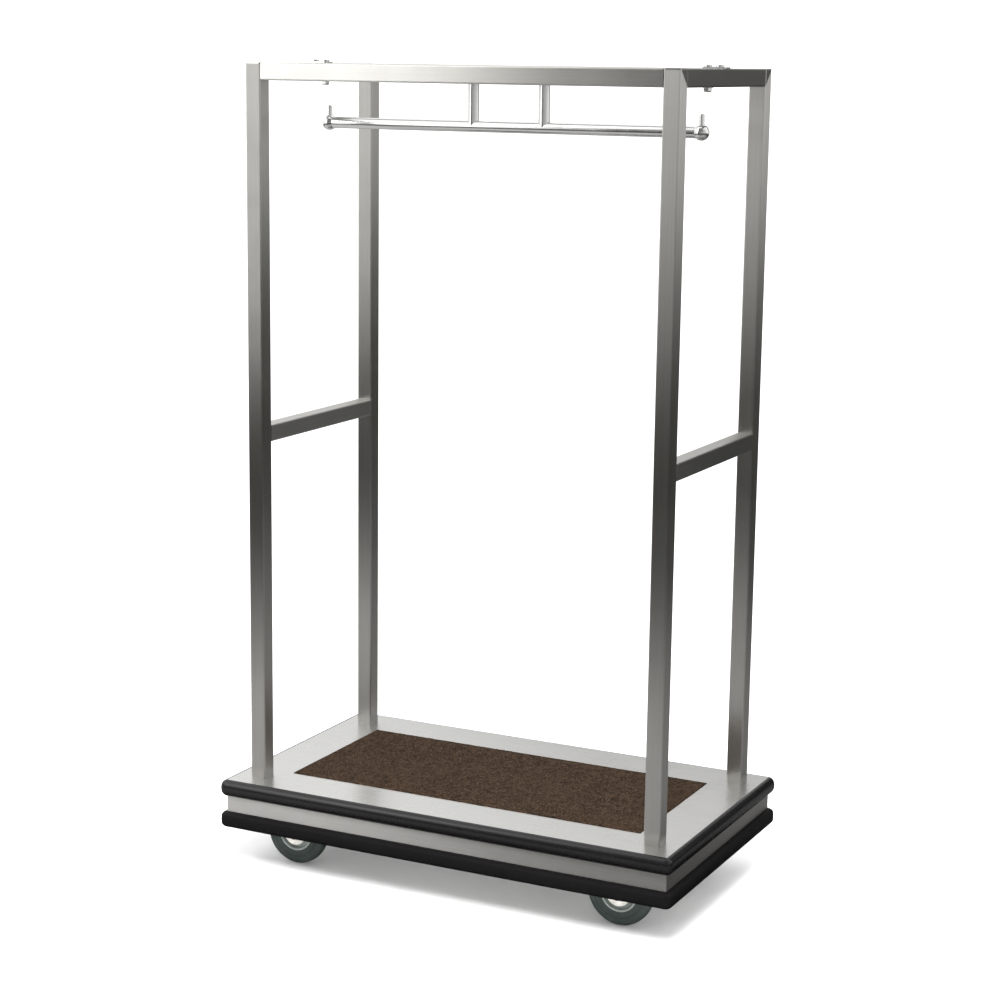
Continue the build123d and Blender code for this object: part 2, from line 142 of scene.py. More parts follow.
class CartStageSettings(bpy.types.PropertyGroup):
    """Floor, light and camera."""

    floor_colour: FloatVectorProperty(
        name="Floor colour", description="Pale studio floor",
        subtype="COLOR", size=3, min=0, max=1, default=(0.90, 0.90, 0.90),
    )
    daylight: FloatProperty(
        name="Surrounding light", description="Strength of the even light all round",
        min=0, max=10, default=1.65,
    )
    room_radius: FloatProperty(
        name="Room radius", description="Distance to the studio walls that the metal reflects",
        unit="LENGTH", min=2, max=20, default=3.6,
    )
    room_height: FloatProperty(
        name="Room height", description="Height of the studio walls that the metal reflects",
        unit="LENGTH", min=2, max=20, default=4.0,
    )
    camera_place: FloatVectorProperty(
        name="Camera place", description="Where the camera stands",
        subtype="TRANSLATION", unit="LENGTH", size=3, default=(2.2196, -4.4855, 1.8435),
    )
    camera_turn: FloatProperty(
        name="Camera turn", description="Turn to the left of the cart's back",
        unit="ROTATION", default=0.461,
    )
    camera_dip: FloatProperty(
        name="Camera dip", description="How far the camera looks down",
        unit="ROTATION", default=0.1922,
    )
    camera_roll: FloatProperty(
        name="Camera roll", description="Roll about the line of sight",
        unit="ROTATION", default=0.0129,
    )
    lens: FloatProperty(
        name="Lens", description="Focal length in millimetres on a 36 mm sensor",
        min=10, max=300, default=81.66,
    )


# ---- Materials ----------------------------------------------------------------------
class Finish:
    """A node-based material under construction."""

    def __init__(self, name):
        self.material = bpy.data.materials.new(name)
        self.material.use_nodes = True
        self.tree = self.material.node_tree
        self.shader = self.tree.nodes["Principled BSDF"]
        self.place = self.add("ShaderNodeTexCoord").outputs["Object"]

    def add(self, kind, **values):
        """Add a node, and set its properties and its inputs by name."""
        node = self.tree.nodes.new(kind)
        for key, value in values.items():
            if key in node.bl_rna.properties:
                setattr(node, key, value)
            else:
                node.inputs[key.replace("_", " ")].default_value = value
        return node

    def link(self, output, socket):
        self.tree.links.new(output, socket)

    def set(self, **values):
        """Set constants on the shader's own sockets."""
        for key, value in values.items():
            self.shader.inputs[key.replace("_", " ")].default_value = value

    def stretched(self, scale):
        """Object coordinates, scaled along each axis."""
        mapping = self.add("ShaderNodeMapping", Scale=scale)
        self.link(self.place, mapping.inputs["Vector"])
        return mapping.outputs["Vector"]

    def cloud(self, scale, detail=3.0, rough=0.55, place=None):
        """Noise between about 0 and 1."""
        node = self.add("ShaderNodeTexNoise", Scale=scale, Detail=detail, Roughness=rough)
        self.link(place or self.place, node.inputs["Vector"])
        return node.outputs["Fac"]

    def ramp(self, source, *stops):
        """Colour ramp with stops of (position, grey or colour)."""
        node = self.add("ShaderNodeValToRGB")
        elements = node.color_ramp.elements
        while len(elements) < len(stops):
            elements.new(0.5)
        for element, (position, value) in zip(elements, stops):
            element.position = position
            colour = value if hasattr(value, "__len__") else (value, value, value)
            element.color = (*colour, 1)
        self.link(source, node.inputs["Fac"])
        return node.outputs["Color"]

    def mix(self, factor, first, second, blend="MIX"):
        """Mix two colours; each may be an output, a colour or a grey."""
        node = self.add("ShaderNodeMix", data_type="RGBA", blend_type=blend)
        wanted = ((factor, node.inputs[0]), (first, node.inputs[6]), (second, node.inputs[7]))
        for value, socket in wanted:
            if isinstance(value, bpy.types.NodeSocket):
                self.link(value, socket)
            elif hasattr(value, "__len__"):
                socket.default_value = (*value, 1)
            else:
                grey = (value, value, value, 1)
                socket.default_value = value if socket == node.inputs[0] else grey
        return node.outputs[2]

    def above_mitre(self, top, edge):
        """Masks of a post's side above its mitre with a side rail, and of the seam itself."""
        parts = self.add("ShaderNodeSeparateXYZ")
        self.link(self.place, parts.inputs["Vector"])
        across = self.add("ShaderNodeMath", operation="ABSOLUTE")
        self.link(parts.outputs["Y"], across.inputs[0])
        rise = self.add("ShaderNodeMath", operation="SUBTRACT")
        self.link(parts.outputs["Z"], rise.inputs[0])
        self.link(across.outputs["Value"], rise.inputs[1])
        above = self.add("ShaderNodeMath", operation="GREATER_THAN")
        above.inputs[1].default_value = top - edge
        self.link(rise.outputs["Value"], above.inputs[0])
        seam = self.add("ShaderNodeMath", operation="COMPARE")
        seam.inputs[1].default_value = top - edge
        seam.inputs[2].default_value = SEAM_HALF_WIDTH
        self.link(rise.outputs["Value"], seam.inputs[0])
        return above.outputs["Value"], seam.outputs["Value"]

    def brush_across(self, along, crosswise=None):
        """Turn the shader's tangent across an axis, so that highlights spread across the grain.

        Where the crosswise mask is 1, the grain runs along Y.
        """
        cross = self.add("ShaderNodeVectorMath", operation="CROSS_PRODUCT")
        self.link(self.add("ShaderNodeNewGeometry").outputs["Normal"], cross.inputs[0])
        axis = [float(name == along) for name in "XYZ"]
        cross.inputs[1].default_value = axis
        if crosswise is not None:
            self.link(self.mix(crosswise, axis, (0.0, 1.0, 0.0)), cross.inputs[1])
        nudge = self.add("ShaderNodeVectorMath", operation="ADD")
        nudge.inputs[1].default_value = NUDGE
        self.link(cross.outputs["Vector"], nudge.inputs[0])
        self.link(nudge.outputs["Vector"], self.shader.inputs["Tangent"])

    def bump(self, height, strength, distance, below=None):
        """Bump map; below is the bump that it adds to."""
        node = self.add("ShaderNodeBump", Strength=strength, Distance=distance)
        self.link(height, node.inputs["Height"])
        if below is not None:
            self.link(below, node.inputs["Normal"])
        return node.outputs["Normal"]


def shaded(colour, factor):
    """A colour made lighter or darker."""
    return tuple(min(1.0, channel * factor) for channel in colour)


def brushed_steel(name, along, colour, roughness, brushing, scratch=0.12, mitre=None):
    """Stainless steel brushed along one axis, with streaks and soft handling marks.

    mitre is the (top, outer edge) of posts whose sides carry the end of a mitred rail.
    """
    settings = bpy.context.scene.cart_metal
    finish = Finish(name)
    across = 1 / settings.grain_pitch
    scale = [across, across, across]
    scale["XYZ".index(along)] = 1 / settings.grain_run
    grain = finish.cloud(1.0, 4.0, 0.6, finish.stretched(scale))
    streak = finish.cloud(0.16, 3.0, 0.55, finish.stretched(scale))
    smudge = finish.cloud(9.0, 4.0, 0.6)
    tone = finish.ramp(grain, (0.25, shaded(colour, 0.90)), (0.75, shaded(colour, 1.07)))
    tone = finish.mix(finish.ramp(streak, (0.35, 0.0), (0.70, 0.5)), tone, shaded(colour, 0.90))
    crosswise = None
    if mitre:
        crosswise, seam = finish.above_mitre(*mitre)
        tone = finish.mix(crosswise, tone, colour)
        tone = finish.mix(seam, tone, shaded(colour, 0.55))
    finish.link(tone, finish.shader.inputs["Base Color"])
    rough = finish.mix(
        finish.ramp(smudge, (0.40, 0.0), (0.75, 1.0)),
        finish.ramp(grain, (0.2, roughness - 0.03), (0.8, roughness + 0.03)),
        roughness + 0.05,
    )
    finish.link(rough, finish.shader.inputs["Roughness"])
    finish.link(finish.bump(grain, scratch, 0.00004), finish.shader.inputs["Normal"])
    finish.brush_across(along, crosswise)
    finish.set(Metallic=1.0, Anisotropic=brushing)
    return finish.material


def polished_steel(name, colour, roughness=0.10):
    """Bright steel with faint polishing marks and smudges."""
    finish = Finish(name)
    marks = finish.cloud(900.0, 3.0, 0.6)
    smudge = finish.cloud(22.0, 4.0, 0.65)
    tone = finish.ramp(smudge, (0.3, shaded(colour, 0.93)), (0.7, colour))
    finish.link(tone, finish.shader.inputs["Base Color"])
    rough = finish.ramp(smudge, (0.35, roughness), (0.8, roughness + 0.12))
    finish.link(rough, finish.shader.inputs["Roughness"])
    finish.link(finish.bump(marks, 0.12, 0.00003), finish.shader.inputs["Normal"])
    finish.set(Metallic=1.0)
    return finish.material


def rubber(name, colour, roughness, gloss, dust):
    """Moulded rubber with a fine skin, flow marks, scuffs and a trace of dust."""
    finish = Finish(name)
    skin = finish.cloud(1400.0, 3.0, 0.6)
    scuff = finish.cloud(26.0, 5.0, 0.7)
    flow = finish.cloud(4.0, 2.0, 0.5)
    tone = finish.mix(finish.ramp(flow, (0.3, 0.0), (0.8, 0.5)), colour, shaded(colour, 1.5))
    tone = finish.mix(finish.ramp(scuff, (0.50, 0.0), (0.80, dust)), tone, (0.20, 0.19, 0.18))
    finish.link(tone, finish.shader.inputs["Base Color"])
    rough = finish.ramp(scuff, (0.3, roughness - 0.02), (0.75, roughness + 0.05))
    finish.link(rough, finish.shader.inputs["Roughness"])
    finish.link(finish.bump(skin, 0.1, 0.00003), finish.shader.inputs["Normal"])
    finish.set(Metallic=0.0, Specular_IOR_Level=gloss)
    return finish.material


def loop_carpet(name):
    """Heathered brown loop pile, with painted shade between the loops."""
    settings = bpy.context.scene.cart_carpet
    finish = Finish(name)
    loops = finish.add("ShaderNodeTexVoronoi", Scale=1 / settings.loop_pitch, Randomness=0.7)
    finish.link(finish.place, loops.inputs["Vector"])
    fibres = finish.cloud(900.0, 4.0, 0.7)
    heather = finish.cloud(70.0, 3.0, 0.7)
    yarn = finish.cloud(210.0, 2.0, 0.6)
    wear = finish.cloud(5.0, 3.0, 0.5)
    dark = shaded(settings.colour, 0.25)
    tone = finish.mix(finish.ramp(heather, (0.38, 0.0), (0.62, 1.0)), dark, settings.colour)
    tone = finish.mix(finish.ramp(yarn, (0.50, 0.0), (0.64, 0.9)), tone, settings.fleck_colour)
    tone = finish.mix(finish.ramp(fibres, (0.55, 0.0), (0.72, 0.6)), tone, settings.fleck_colour)
    # Painted shade: the pile is darkened between the loops, where it sinks.
    tone = finish.mix(
        finish.ramp(loops.outputs["Distance"], (0.35, 0.0), (0.75, 0.7)), tone, shaded(dark, 0.5)
    )
    tone = finish.mix(finish.ramp(wear, (0.4, 0.0), (0.75, 0.25)), tone, settings.colour)
    finish.link(tone, finish.shader.inputs["Base Color"])
    finish.link(finish.bump(fibres, 0.6, 0.0006), finish.shader.inputs["Normal"])
    finish.set(Roughness=0.97, Specular_IOR_Level=0.05)
    return finish.material


def laminated_board(name):
    """Birch ply faced with grey laminate: fine print on the faces and plies along the edges."""
    finish = Finish(name)
    plies = finish.cloud(1.0, 2.0, 0.4, finish.stretched((6.0, 6.0, 700.0)))
    print_grain = finish.cloud(240.0, 3.0, 0.6)
    grime = finish.cloud(12.0, 4.0, 0.6)
    edge = finish.ramp(plies, (0.42, (0.30, 0.20, 0.11)), (0.58, (0.52, 0.39, 0.24)))
    face = finish.ramp(print_grain, (0.35, (0.50, 0.50, 0.49)), (0.65, (0.60, 0.60, 0.59)))
    face = finish.mix(finish.ramp(grime, (0.45, 0.0), (0.80, 0.35)), face, (0.34, 0.33, 0.32))
    parts = finish.add("ShaderNodeSeparateXYZ")
    finish.link(finish.add("ShaderNodeNewGeometry").outputs["True Normal"], parts.inputs["Vector"])
    level = finish.add("ShaderNodeMath", operation="ABSOLUTE")
    finish.link(parts.outputs["Z"], level.inputs[0])
    tone = finish.mix(level.outputs["Value"], edge, face)
    finish.link(tone, finish.shader.inputs["Base Color"])
    finish.link(finish.bump(print_grain, 0.2, 0.0001), finish.shader.inputs["Normal"])
    finish.set(Roughness=0.45)
    return finish.material


def black_paint(name):
    """Black enamel over steel, with orange peel and dust."""
    finish = Finish(name)
    peel = finish.cloud(500.0, 2.0, 0.5)
    dust = finish.cloud(35.0, 4.0, 0.7)
    tone = finish.ramp(dust, (0.45, (0.018, 0.018, 0.019)), (0.8, (0.06, 0.058, 0.054)))
    finish.link(tone, finish.shader.inputs["Base Color"])
    finish.link(finish.ramp(dust, (0.4, 0.38), (0.8, 0.62)), finish.shader.inputs["Roughness"])
    finish.link(finish.bump(peel, 0.2, 0.0002), finish.shader.inputs["Normal"])
    return finish.material


def moulded_plastic(name, colour):
    """Moulded plastic with a little grime."""
    finish = Finish(name)
    mould = finish.cloud(420.0, 3.0, 0.6)
    grime = finish.cloud(60.0, 4.0, 0.7)
    tone = finish.ramp(grime, (0.35, colour), (0.8, shaded(colour, 0.55)))
    finish.link(tone, finish.shader.inputs["Base Color"])
    finish.link(finish.ramp(grime, (0.3, 0.28), (0.8, 0.55)), finish.shader.inputs["Roughness"])
    finish.link(finish.bump(mould, 0.15, 0.0001), finish.shader.inputs["Normal"])
    return finish.material


def coat(material, *names):
    """Give CAD nodes a material."""
    for name in names:
        piece = NODES[name]
        piece.data.materials.clear()
        piece.data.materials.append(material)


# ---- Mesh helpers -------------------------------------------------------------------
def settle(shape, name, material, body, smooth=40.0):
    """Turn a bmesh into a finished piece at the origin, riding on its body."""
    bmesh.ops.recalc_face_normals(shape, faces=shape.faces)
    mesh = bpy.data.meshes.new(name)
    shape.to_mesh(mesh)
    shape.free()
    mesh.materials.append(material)
    mesh.shade_smooth()
    mesh.set_sharp_from_angle(angle=math.radians(smooth))
    piece = bpy.data.objects.new(name, mesh)
    bpy.context.scene.collection.objects.link(piece)
    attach(piece, body)
    return piece


def outline(shape, points):
    """An open chain of edges through a few points."""
    verts = [shape.verts.new(point) for point in points]
    for first, second in zip(verts, verts[1:]):
        shape.edges.new((first, second))
    return verts


def swept_ring(profile, size, corner, steps):
    """A ring round a rectangle, from a profile of (outward, height) spun at each corner."""
    half_x, half_y = size[0] / 2 - corner, size[1] / 2 - corner
    shape = bmesh.new()
    verts = outline(shape, [(-half_x, -half_y - corner - out, z) for out, z in profile])
    ends = list(verts)
    chain = list(shape.edges)
    for turn in range(4):
        step = Vector((1, 0, 0)) if turn % 2 == 0 else Vector((0, 1, 0))
        run = (half_x if turn % 2 == 0 else half_y) * 2 * (1 if turn < 2 else -1)
        made = bmesh.ops.extrude_edge_only(shape, edges=chain)["geom"]
        verts = [g for g in made if isinstance(g, bmesh.types.BMVert)]
        chain = [g for g in made if isinstance(g, bmesh.types.BMEdge)]
        bmesh.ops.translate(shape, verts=verts, vec=step * run)
        pivot = (half_x if turn in (0, 1) else -half_x, -half_y if turn in (0, 3) else half_y, 0)
        spun = bmesh.ops.spin(
            shape, geom=verts + chain, cent=pivot, axis=UP, angle=math.pi / 2, steps=steps
        )["geom_last"]
        chain = [g for g in spun if isinstance(g, bmesh.types.BMEdge)]
    bmesh.ops.remove_doubles(shape, verts=shape.verts, dist=WELD)
    return shape


def turned(profile, centre):
    """A body of revolution about a line along Y: a closed profile of (along, radius)."""
    shape = bmesh.new()
    points = [(centre.x, centre.y + along, centre.z + radius) for along, radius in profile]
    verts = outline(shape, points)
    shape.edges.new((verts[-1], verts[0]))
    bmesh.ops.spin(
        shape, geom=shape.verts[:] + shape.edges[:], cent=centre, axis=(0, 1, 0),
        angle=2 * math.pi, steps=ROUND_STEPS, use_merge=True,
    )
    bmesh.ops.remove_doubles(shape, verts=shape.verts, dist=WELD)
    return shape


def arc(centre, radius, start, stop, steps):
    """Points on an arc, in degrees."""
    return [
        (
            centre[0] + radius[0] * math.cos(math.radians(start + (stop - start) * i / steps)),
            centre[1] + radius[1] * math.sin(math.radians(start + (stop - start) * i / steps)),
        )
        for i in range(steps + 1)
    ]


# ---- Operators ----------------------------------------------------------------------
class LUGGAGE_OT_frame_tubes(bpy.types.Operator):
    """Brush the posts and rails along their length."""

    bl_idname = "luggage.frame_tubes"
    bl_label = "Finish Frame Tubes"

    def execute(self, context):
        settings = context.scene.cart_metal
        look = (settings.tube_colour, 0.37, settings.brushing)
        top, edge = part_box("top_rail_right")[1].z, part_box("post_back_right")[1].y
        upright = brushed_steel("steel_brushed_upright", "Z", *look, mitre=(top, edge))
        lengthwise = brushed_steel("steel_brushed_lengthwise", "X", *look)
        crosswise = brushed_steel("steel_brushed_crosswise", "Y", *look)
        coat(upright, *[f"post_{corner}" for corner in CORNERS])
        coat(lengthwise, "top_rail_front", "top_rail_back", "centre_rail", "post_caps")
        coat(crosswise, "top_rail_left", "top_rail_right", "side_rail_left", "side_rail_right")
        return {"FINISHED"}


class LUGGAGE_OT_hanging_bar(bpy.types.Operator):
    """Polish the hanging bar and what carries it."""

    bl_idname = "luggage.hanging_bar"
    bl_label = "Finish Hanging Bar"

    def execute(self, context):
        bright = polished_steel("steel_polished", context.scene.cart_metal.bar_colour, 0.17)
        coat(bright, "hanging_bar", "bar_balls", "stop_pins", "hanger_left", "hanger_right")
        return {"FINISHED"}


class LUGGAGE_OT_fasteners(bpy.types.Operator):
    """Finish the straps, screws, bolts and nuts."""

    bl_idname = "luggage.fasteners"
    bl_label = "Finish Fasteners"

    def execute(self, context):
        colour = context.scene.cart_metal.bar_colour
        coat(brushed_steel("steel_strap", "X", colour, 0.34, 0.6), "strap_plates", "strap_washers")
        coat(
            polished_steel("steel_fastener", shaded(colour, 0.85), 0.2),
            "strap_screws", "strap_bolts", "cap_nuts", "post_bolts", "caster_bolts", "bumper_screws",
            *[f"axle_{corner}" for corner in CORNERS],
        )
        return {"FINISHED"}


class LUGGAGE_OT_deck(bpy.types.Operator):
    """Finish the deck sheet, the fascia, the board and the underframe."""

    bl_idname = "luggage.deck"
    bl_label = "Finish Deck"

    def execute(self, context):
        settings = context.scene.cart_metal
        coat(brushed_steel("steel_deck", "X", settings.deck_colour, 0.27, 0.5, 0.06), "deck_sheet")
        look = (settings.fascia_colour, 0.36, settings.brushing)
        coat(brushed_steel("steel_fascia_long", "X", *look), "fascia_front", "fascia_back")
        coat(brushed_steel("steel_fascia_end", "Y", *look), "fascia_left", "fascia_right")
        coat(laminated_board("board_laminated"), "deck_board")
        runners = [f"underframe_{side}" for side in ("front", "back", "left", "right")]
        coat(black_paint("paint_black"), *runners, "post_plugs")
        return {"FINISHED"}


class LUGGAGE_OT_carpet(bpy.types.Operator):
    """Lay the loop-pile carpet in the deck."""

    bl_idname = "luggage.carpet"
    bl_label = "Lay Carpet"

    def execute(self, context):
        settings = context.scene.cart_carpet
        low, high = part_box("carpet")
        size = high - low
        centre = (low + high) / 2
        step = settings.loop_pitch / 2
        deepest, swell_height = 0.9, 0.0002
        shoulder_width, shoulder_drop = 0.004, 0.0012
        shape = bmesh.new()
        bmesh.ops.create_grid(
            shape, x_segments=round(size.x / step), y_segments=round(size.y / step), size=0.5,
            matrix=Matrix.Translation((centre.x, centre.y, high.z))
            @ Matrix.Diagonal((size.x, size.y, 1, 1)),
        )
        top = shape.verts[:]
        rim = [edge for edge in shape.edges if edge.is_boundary]
        wall = bmesh.ops.extrude_edge_only(shape, edges=rim)["geom"]
        wall_verts = [g for g in wall if isinstance(g, bmesh.types.BMVert)]
        bmesh.ops.translate(shape, verts=wall_verts, vec=(0, 0, -size.z))
        foot = [g for g in wall if isinstance(g, bmesh.types.BMEdge)]
        bmesh.ops.edgeloop_fill(shape, edges=foot)
        for vert in top:
            x, y = vert.co.x / settings.loop_pitch, vert.co.y / settings.loop_pitch
            loop = noise.voronoi((x, y, 0.0), distance_metric="DISTANCE")[0][0]
            swell = noise.noise((vert.co.x * 9, vert.co.y * 9, 0.5))
            depth = min(loop, deepest) * settings.loop_height + (swell + 1) * swell_height
            inset = min(vert.co.x - low.x, high.x - vert.co.x, vert.co.y - low.y, high.y - vert.co.y)
            shoulder = max(0.0, 1 - inset / shoulder_width)
            vert.co.z -= depth + shoulder_drop * shoulder * shoulder
        piece = settle(shape, "carpet_pile", loop_carpet("carpet_brown"), "cart", 180.0)
        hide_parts("carpet")
        return {"FINISHED"}


class LUGGAGE_OT_bumpers(bpy.types.Operator):
    """Run the two rubber rings round the deck."""

    bl_idname = "luggage.bumpers"
    bl_label = "Fit Bumpers"

    def execute(self, context):
        settings = context.scene.cart_rubber
        glossy = rubber("rubber_upper", settings.bumper_colour, 0.25, 0.44, 0.001)
        matte = rubber("rubber_lower", settings.bumper_colour, 0.55, 0.13, 0.004)
        for name, material, slot, nose in (
            ("upper_bumper", glossy, "upper_rubber", 0.0165),
            ("lower_bumper", matte, "lower_rubber", 0.0105),
        ):
            self.ring(name, material, slot, nose, settings)
        return {"FINISHED"}

    def ring(self, node, material, slot, nose, settings):
        """A ring with a flat back against the fascia and an elliptical nose above and below."""
        low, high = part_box(node)
        back_low, back_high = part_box("deck_sheet")
        size = back_high - back_low
        depth = high.y - back_high.y
        crown = depth * 0.97
        upper = arc((0.0, high.z - nose), (crown, nose), 90, 8, 9)
        lower = arc((0.0, low.z + nose), (crown, nose), -8, -90, 9)
        middle = [(depth, (low.z + high.z) / 2)]
        profile = upper + middle + lower
        shape = swept_ring(profile, size, settings.inner_corner, settings.corner_steps)
        rims = [edge for edge in shape.edges if edge.is_boundary]
        bmesh.ops.bridge_loops(shape, edges=rims)
        piece = settle(shape, f"{node}_rubber", material, "cart", 50.0)
        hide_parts(node)


class LUGGAGE_OT_casters(bpy.types.Operator):
    """Turn the tyres, wheel cores and hub covers, and finish the forks and plates."""

    bl_idname = "luggage.casters"
    bl_label = "Fit Casters"

    def execute(self, context):
        settings = context.scene.cart_rubber
        tread = rubber("rubber_tyre", settings.tyre_colour, 0.45, 0.35, 0.10)
        grey = moulded_plastic("plastic_core", (0.26, 0.29, 0.27))
        zinc = polished_steel("steel_zinc", (0.70, 0.71, 0.71), 0.22)
        cover = moulded_plastic("plastic_hub_cover", (0.80, 0.77, 0.71))
        turning = [f"{part}_{corner}" for corner in CORNERS for part in ("caster_plate", "fork")]
        coat(zinc, "kingpins", *turning)
        for corner in CORNERS:
            self.tyre(corner, tread)
            self.core(corner, grey)
            self.hub_covers(corner, cover)
        return {"FINISHED"}

    def tyre(self, corner, material):
        """A tyre with a crowned tread, a shoulder groove and a bead that grips the core."""
        low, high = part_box(f"tyre_{corner}")
        core_low, core_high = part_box(f"wheel_core_{corner}")
        centre = (low + high) / 2
        radius, half = (high.z - low.z) / 2, (high.y - low.y) / 2
        bead = (core_high.z - core_low.z) / 2
        side = [
            (half * 0.62, radius * 0.985), (half * 0.82, radius * 0.955), (half * 0.95, radius * 0.905),
            (half, radius * 0.84), (half * 0.985, radius * 0.775), (half * 0.93, radius * 0.765),
            (half * 0.93, radius * 0.745), (half * 0.99, radius * 0.735), (half * 0.97, bead + 0.004),
            (half * 0.90, bead + 0.001), (half * 0.86, bead - 0.0015),
        ]
        crown = [(half * 0.3, radius * 0.9985), (0.0, radius), (-half * 0.3, radius * 0.9985)]
        profile = [(-a, r) for a, r in side][::-1] + crown[::-1] + side
        piece = settle(turned(profile, centre), f"tyre_{corner}_rubber", material, f"wheel_{corner}",
                       35.0)
        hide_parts(f"tyre_{corner}")

    def core(self, corner, material):
        """A core with a hub, a dished web and a rim."""
        low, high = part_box(f"wheel_core_{corner}")
        centre = (low + high) / 2
        radius, half = (high.z - low.z) / 2, (high.y - low.y) / 2
        side = [
            (half * 0.80, radius), (half * 0.83, radius * 0.97), (half * 0.80, radius * 0.90),
            (half * 0.45, radius * 0.87), (half * 0.34, radius * 0.83), (half * 0.36, radius * 0.70),
            (half * 0.48, radius * 0.65), (half * 0.90, radius * 0.62), (half * 0.96, radius * 0.59),
            (half * 0.96, radius * 0.14),
        ]
        profile = [(-a, r) for a, r in side][::-1] + side
        piece = settle(turned(profile, centre), f"wheel_core_{corner}_moulded", material,
                       f"wheel_{corner}", 35.0)
        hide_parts(f"wheel_core_{corner}")

    def hub_covers(self, corner, material):
        """Two pressed covers over the hub, each with a rolled rim and a raised middle."""
        low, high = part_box(f"wheel_core_{corner}")
        centre = (low + high) / 2
        radius, half = (high.z - low.z) / 2, (high.y - low.y) / 2
        rim, middle, sheet = radius * 0.66, radius * 0.50, half * 0.03
        face = half * 0.96
        for side in (-1, 1):
            profile = [
                (face, AXLE_HOLE_RADIUS), (half, AXLE_HOLE_RADIUS), (half, middle),
                (face + sheet, middle * 1.12),
                (face + sheet, rim * 0.90), (half, rim * 0.95), (half, rim), (face, rim * 1.01),
            ]
            settle(
                turned([(side * along, out) for along, out in profile], centre),
                f"hub_cover_{corner}_{'outer' if side < 0 else 'inner'}", material,
                f"wheel_{corner}", 35.0,
            )


class LUGGAGE_OT_stage(bpy.types.Operator):
    """Set up the floor, the light and the camera."""

    bl_idname = "luggage.stage"
    bl_label = "Set Stage"

    def execute(self, context):
        settings = context.scene.cart_stage
        self.floor(settings)
        self.sky(context, settings)
        self.room(settings)
        self.lamp()
        self.camera(context, settings)
        context.scene.view_settings.view_transform = "Standard"
        return {"FINISHED"}

    def floor(self, settings):
        """A wide pale floor that is clear from below, so that the underside can be seen."""
        finish = Finish("floor_pale")
        finish.set(Base_Color=(*settings.floor_colour, 1), Roughness=0.8, Specular_IOR_Level=0.1)
        clear = finish.add("ShaderNodeBsdfTransparent")
        side = finish.add("ShaderNodeMixShader")
        finish.link(finish.add("ShaderNodeNewGeometry").outputs["Backfacing"], side.inputs["Fac"])
        finish.link(finish.shader.outputs["BSDF"], side.inputs[1])
        finish.link(clear.outputs["BSDF"], side.inputs[2])
        finish.link(side.outputs["Shader"], finish.tree.nodes["Material Output"].inputs["Surface"])
        shape = bmesh.new()
        bmesh.ops.create_grid(shape, x_segments=1, y_segments=1, size=60.0)
        mesh = bpy.data.meshes.new("floor")
        shape.to_mesh(mesh)
        shape.free()
        mesh.materials.append(finish.material)
        floor = bpy.data.objects.new("floor", mesh)
        bpy.context.scene.collection.objects.link(floor)

    def sky(self, context, settings):
        """An even white light all round."""
        world = bpy.data.worlds.new("studio_light")
        world.use_nodes = True
        background = world.node_tree.nodes["Background"]
        background.inputs["Color"].default_value = (1, 1, 1, 1)
        background.inputs["Strength"].default_value = settings.daylight
        context.scene.world = world

    def only_mirrored(self, shape, name, material):
        """A studio surface that only reflections see."""
        mesh = bpy.data.meshes.new(name)
        shape.to_mesh(mesh)
        shape.free()
        mesh.materials.append(material)
        card = bpy.data.objects.new(name, mesh)
        bpy.context.scene.collection.objects.link(card)
        card.visible_camera = False
        card.visible_diffuse = False
        card.visible_shadow = False
        card.visible_transmission = False

    def room(self, settings):
        """The studio that the metal reflects: walls, a ceiling and a floor, darker far away."""
        radius, height = settings.room_radius, settings.room_height
        walls = bmesh.new()
        bmesh.ops.create_cone(
            walls, cap_ends=False, segments=ROUND_STEPS, radius1=radius, radius2=radius, depth=height,
            matrix=Matrix.Translation((0, 0, height / 2)),
        )
        self.only_mirrored(walls, "room_walls", self.wall_glow(height))
        for name, level, material in (
            ("room_ceiling", height, self.ceiling_glow(radius)),
            ("room_floor", 0.001, self.floor_glow(radius)),
        ):
            disc = bmesh.new()
            bmesh.ops.create_circle(
                disc, cap_ends=True, segments=ROUND_STEPS, radius=radius,
                matrix=Matrix.Translation((0, 0, level)),
            )
            self.only_mirrored(disc, name, material)

    def glowing(self, name, strength):
        """A material that only glows, as its finish and its emission colour socket."""
        finish = Finish(name)
        glow = finish.add("ShaderNodeEmission", Strength=strength)
        finish.link(glow.outputs["Emission"], finish.tree.nodes["Material Output"].inputs["Surface"])
        finish.tree.nodes.remove(finish.shader)
        return finish, glow.inputs["Color"]

    def ceiling_glow(self, radius):
        """Bright overhead and at the sides, dark in front but for a lamp on the left."""
        finish, colour = self.glowing("glow_ceiling", 3.0)
        ring = finish.ramp(
            self.bearing(finish),
            (0.0, 0.43), (0.13, 0.45), (0.15, 1.0), (0.172, 1.0), (0.188, 0.05), (0.33, 0.04),
            (0.45, 0.3), (0.55, 0.43), (1.0, 0.43),
        )
        middle = finish.ramp(self.reach(finish, radius), (0.26, 1.0), (0.40, 0.0))
        finish.link(finish.mix(middle, ring, (0.45, 0.45, 0.45)), colour)
        return finish.material

    def reach(self, finish, radius, narrowed=1.0):
        """Distance from the middle of the room, 1 at its walls, with the cart's length narrowed."""
        level = finish.add("ShaderNodeVectorMath", operation="MULTIPLY")
        level.inputs[1].default_value = (narrowed, 1, 0)
        finish.link(finish.place, level.inputs[0])
        length = finish.add("ShaderNodeVectorMath", operation="LENGTH")
        finish.link(level.outputs["Vector"], length.inputs[0])
        share = finish.add("ShaderNodeMapRange")
        share.inputs["From Max"].default_value = radius
        finish.link(length.outputs["Value"], share.inputs["Value"])
        return share.outputs["Result"]

    def bearing(self, finish):
        """Bearing round the room: 0 and 1 on the left, 0.25 in front, 0.5 on the right, 0.75 behind."""
        around = finish.add("ShaderNodeTexGradient", gradient_type="RADIAL")
        finish.link(finish.place, around.inputs["Vector"])
        return around.outputs["Fac"]

